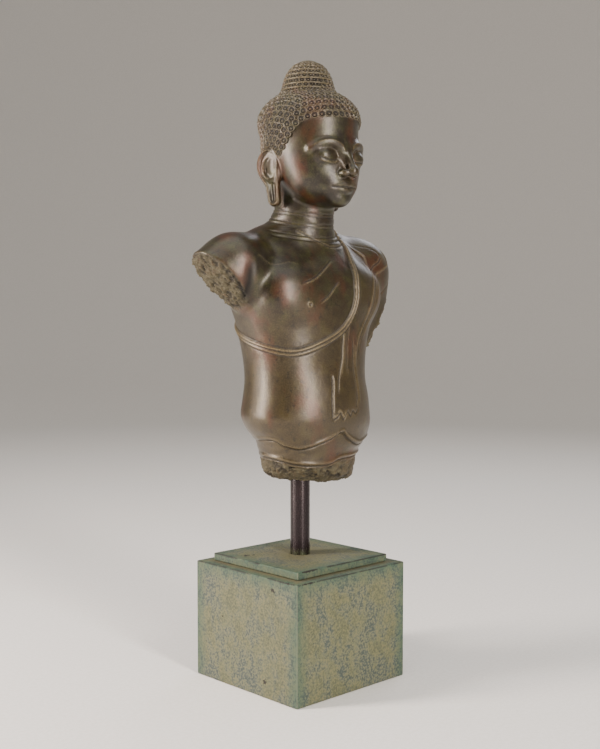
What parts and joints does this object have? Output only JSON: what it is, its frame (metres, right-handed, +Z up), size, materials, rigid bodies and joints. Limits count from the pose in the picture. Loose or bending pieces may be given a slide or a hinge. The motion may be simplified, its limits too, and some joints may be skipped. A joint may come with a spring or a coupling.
{
  "type": "bronze buddha bust on plinth",
  "caption": "Bronze Buddha head and torso with curled hair, topknot and draped robe, broken at arms and hips, held by a round rod above a square stepped plinth.",
  "frame": {"origin": "centre of the plinth's underside", "axes": "+Z up, the figure faces -Y and its own left is +X, with the plinth's sides along X and Y"},
  "size_m": [0.2446, 0.1543, 0.6211],
  "materials": {
    "patinated_bronze": "dark brown patinated bronze, rubbed to a soft shine on the swells, dusty green in the lines",
    "brown_rod": "dark purplish brown, satin",
    "verdigris_paint": "matt olive green paint mottled blue grey, worn to dark along the edges"
  },
  "bodies": {
    "root": {"bust": "patinated_bronze", "support_rod": "brown_rod", "plinth_slab": "verdigris_paint", "plinth_block": "verdigris_paint"}
  },
  "joints": []
}
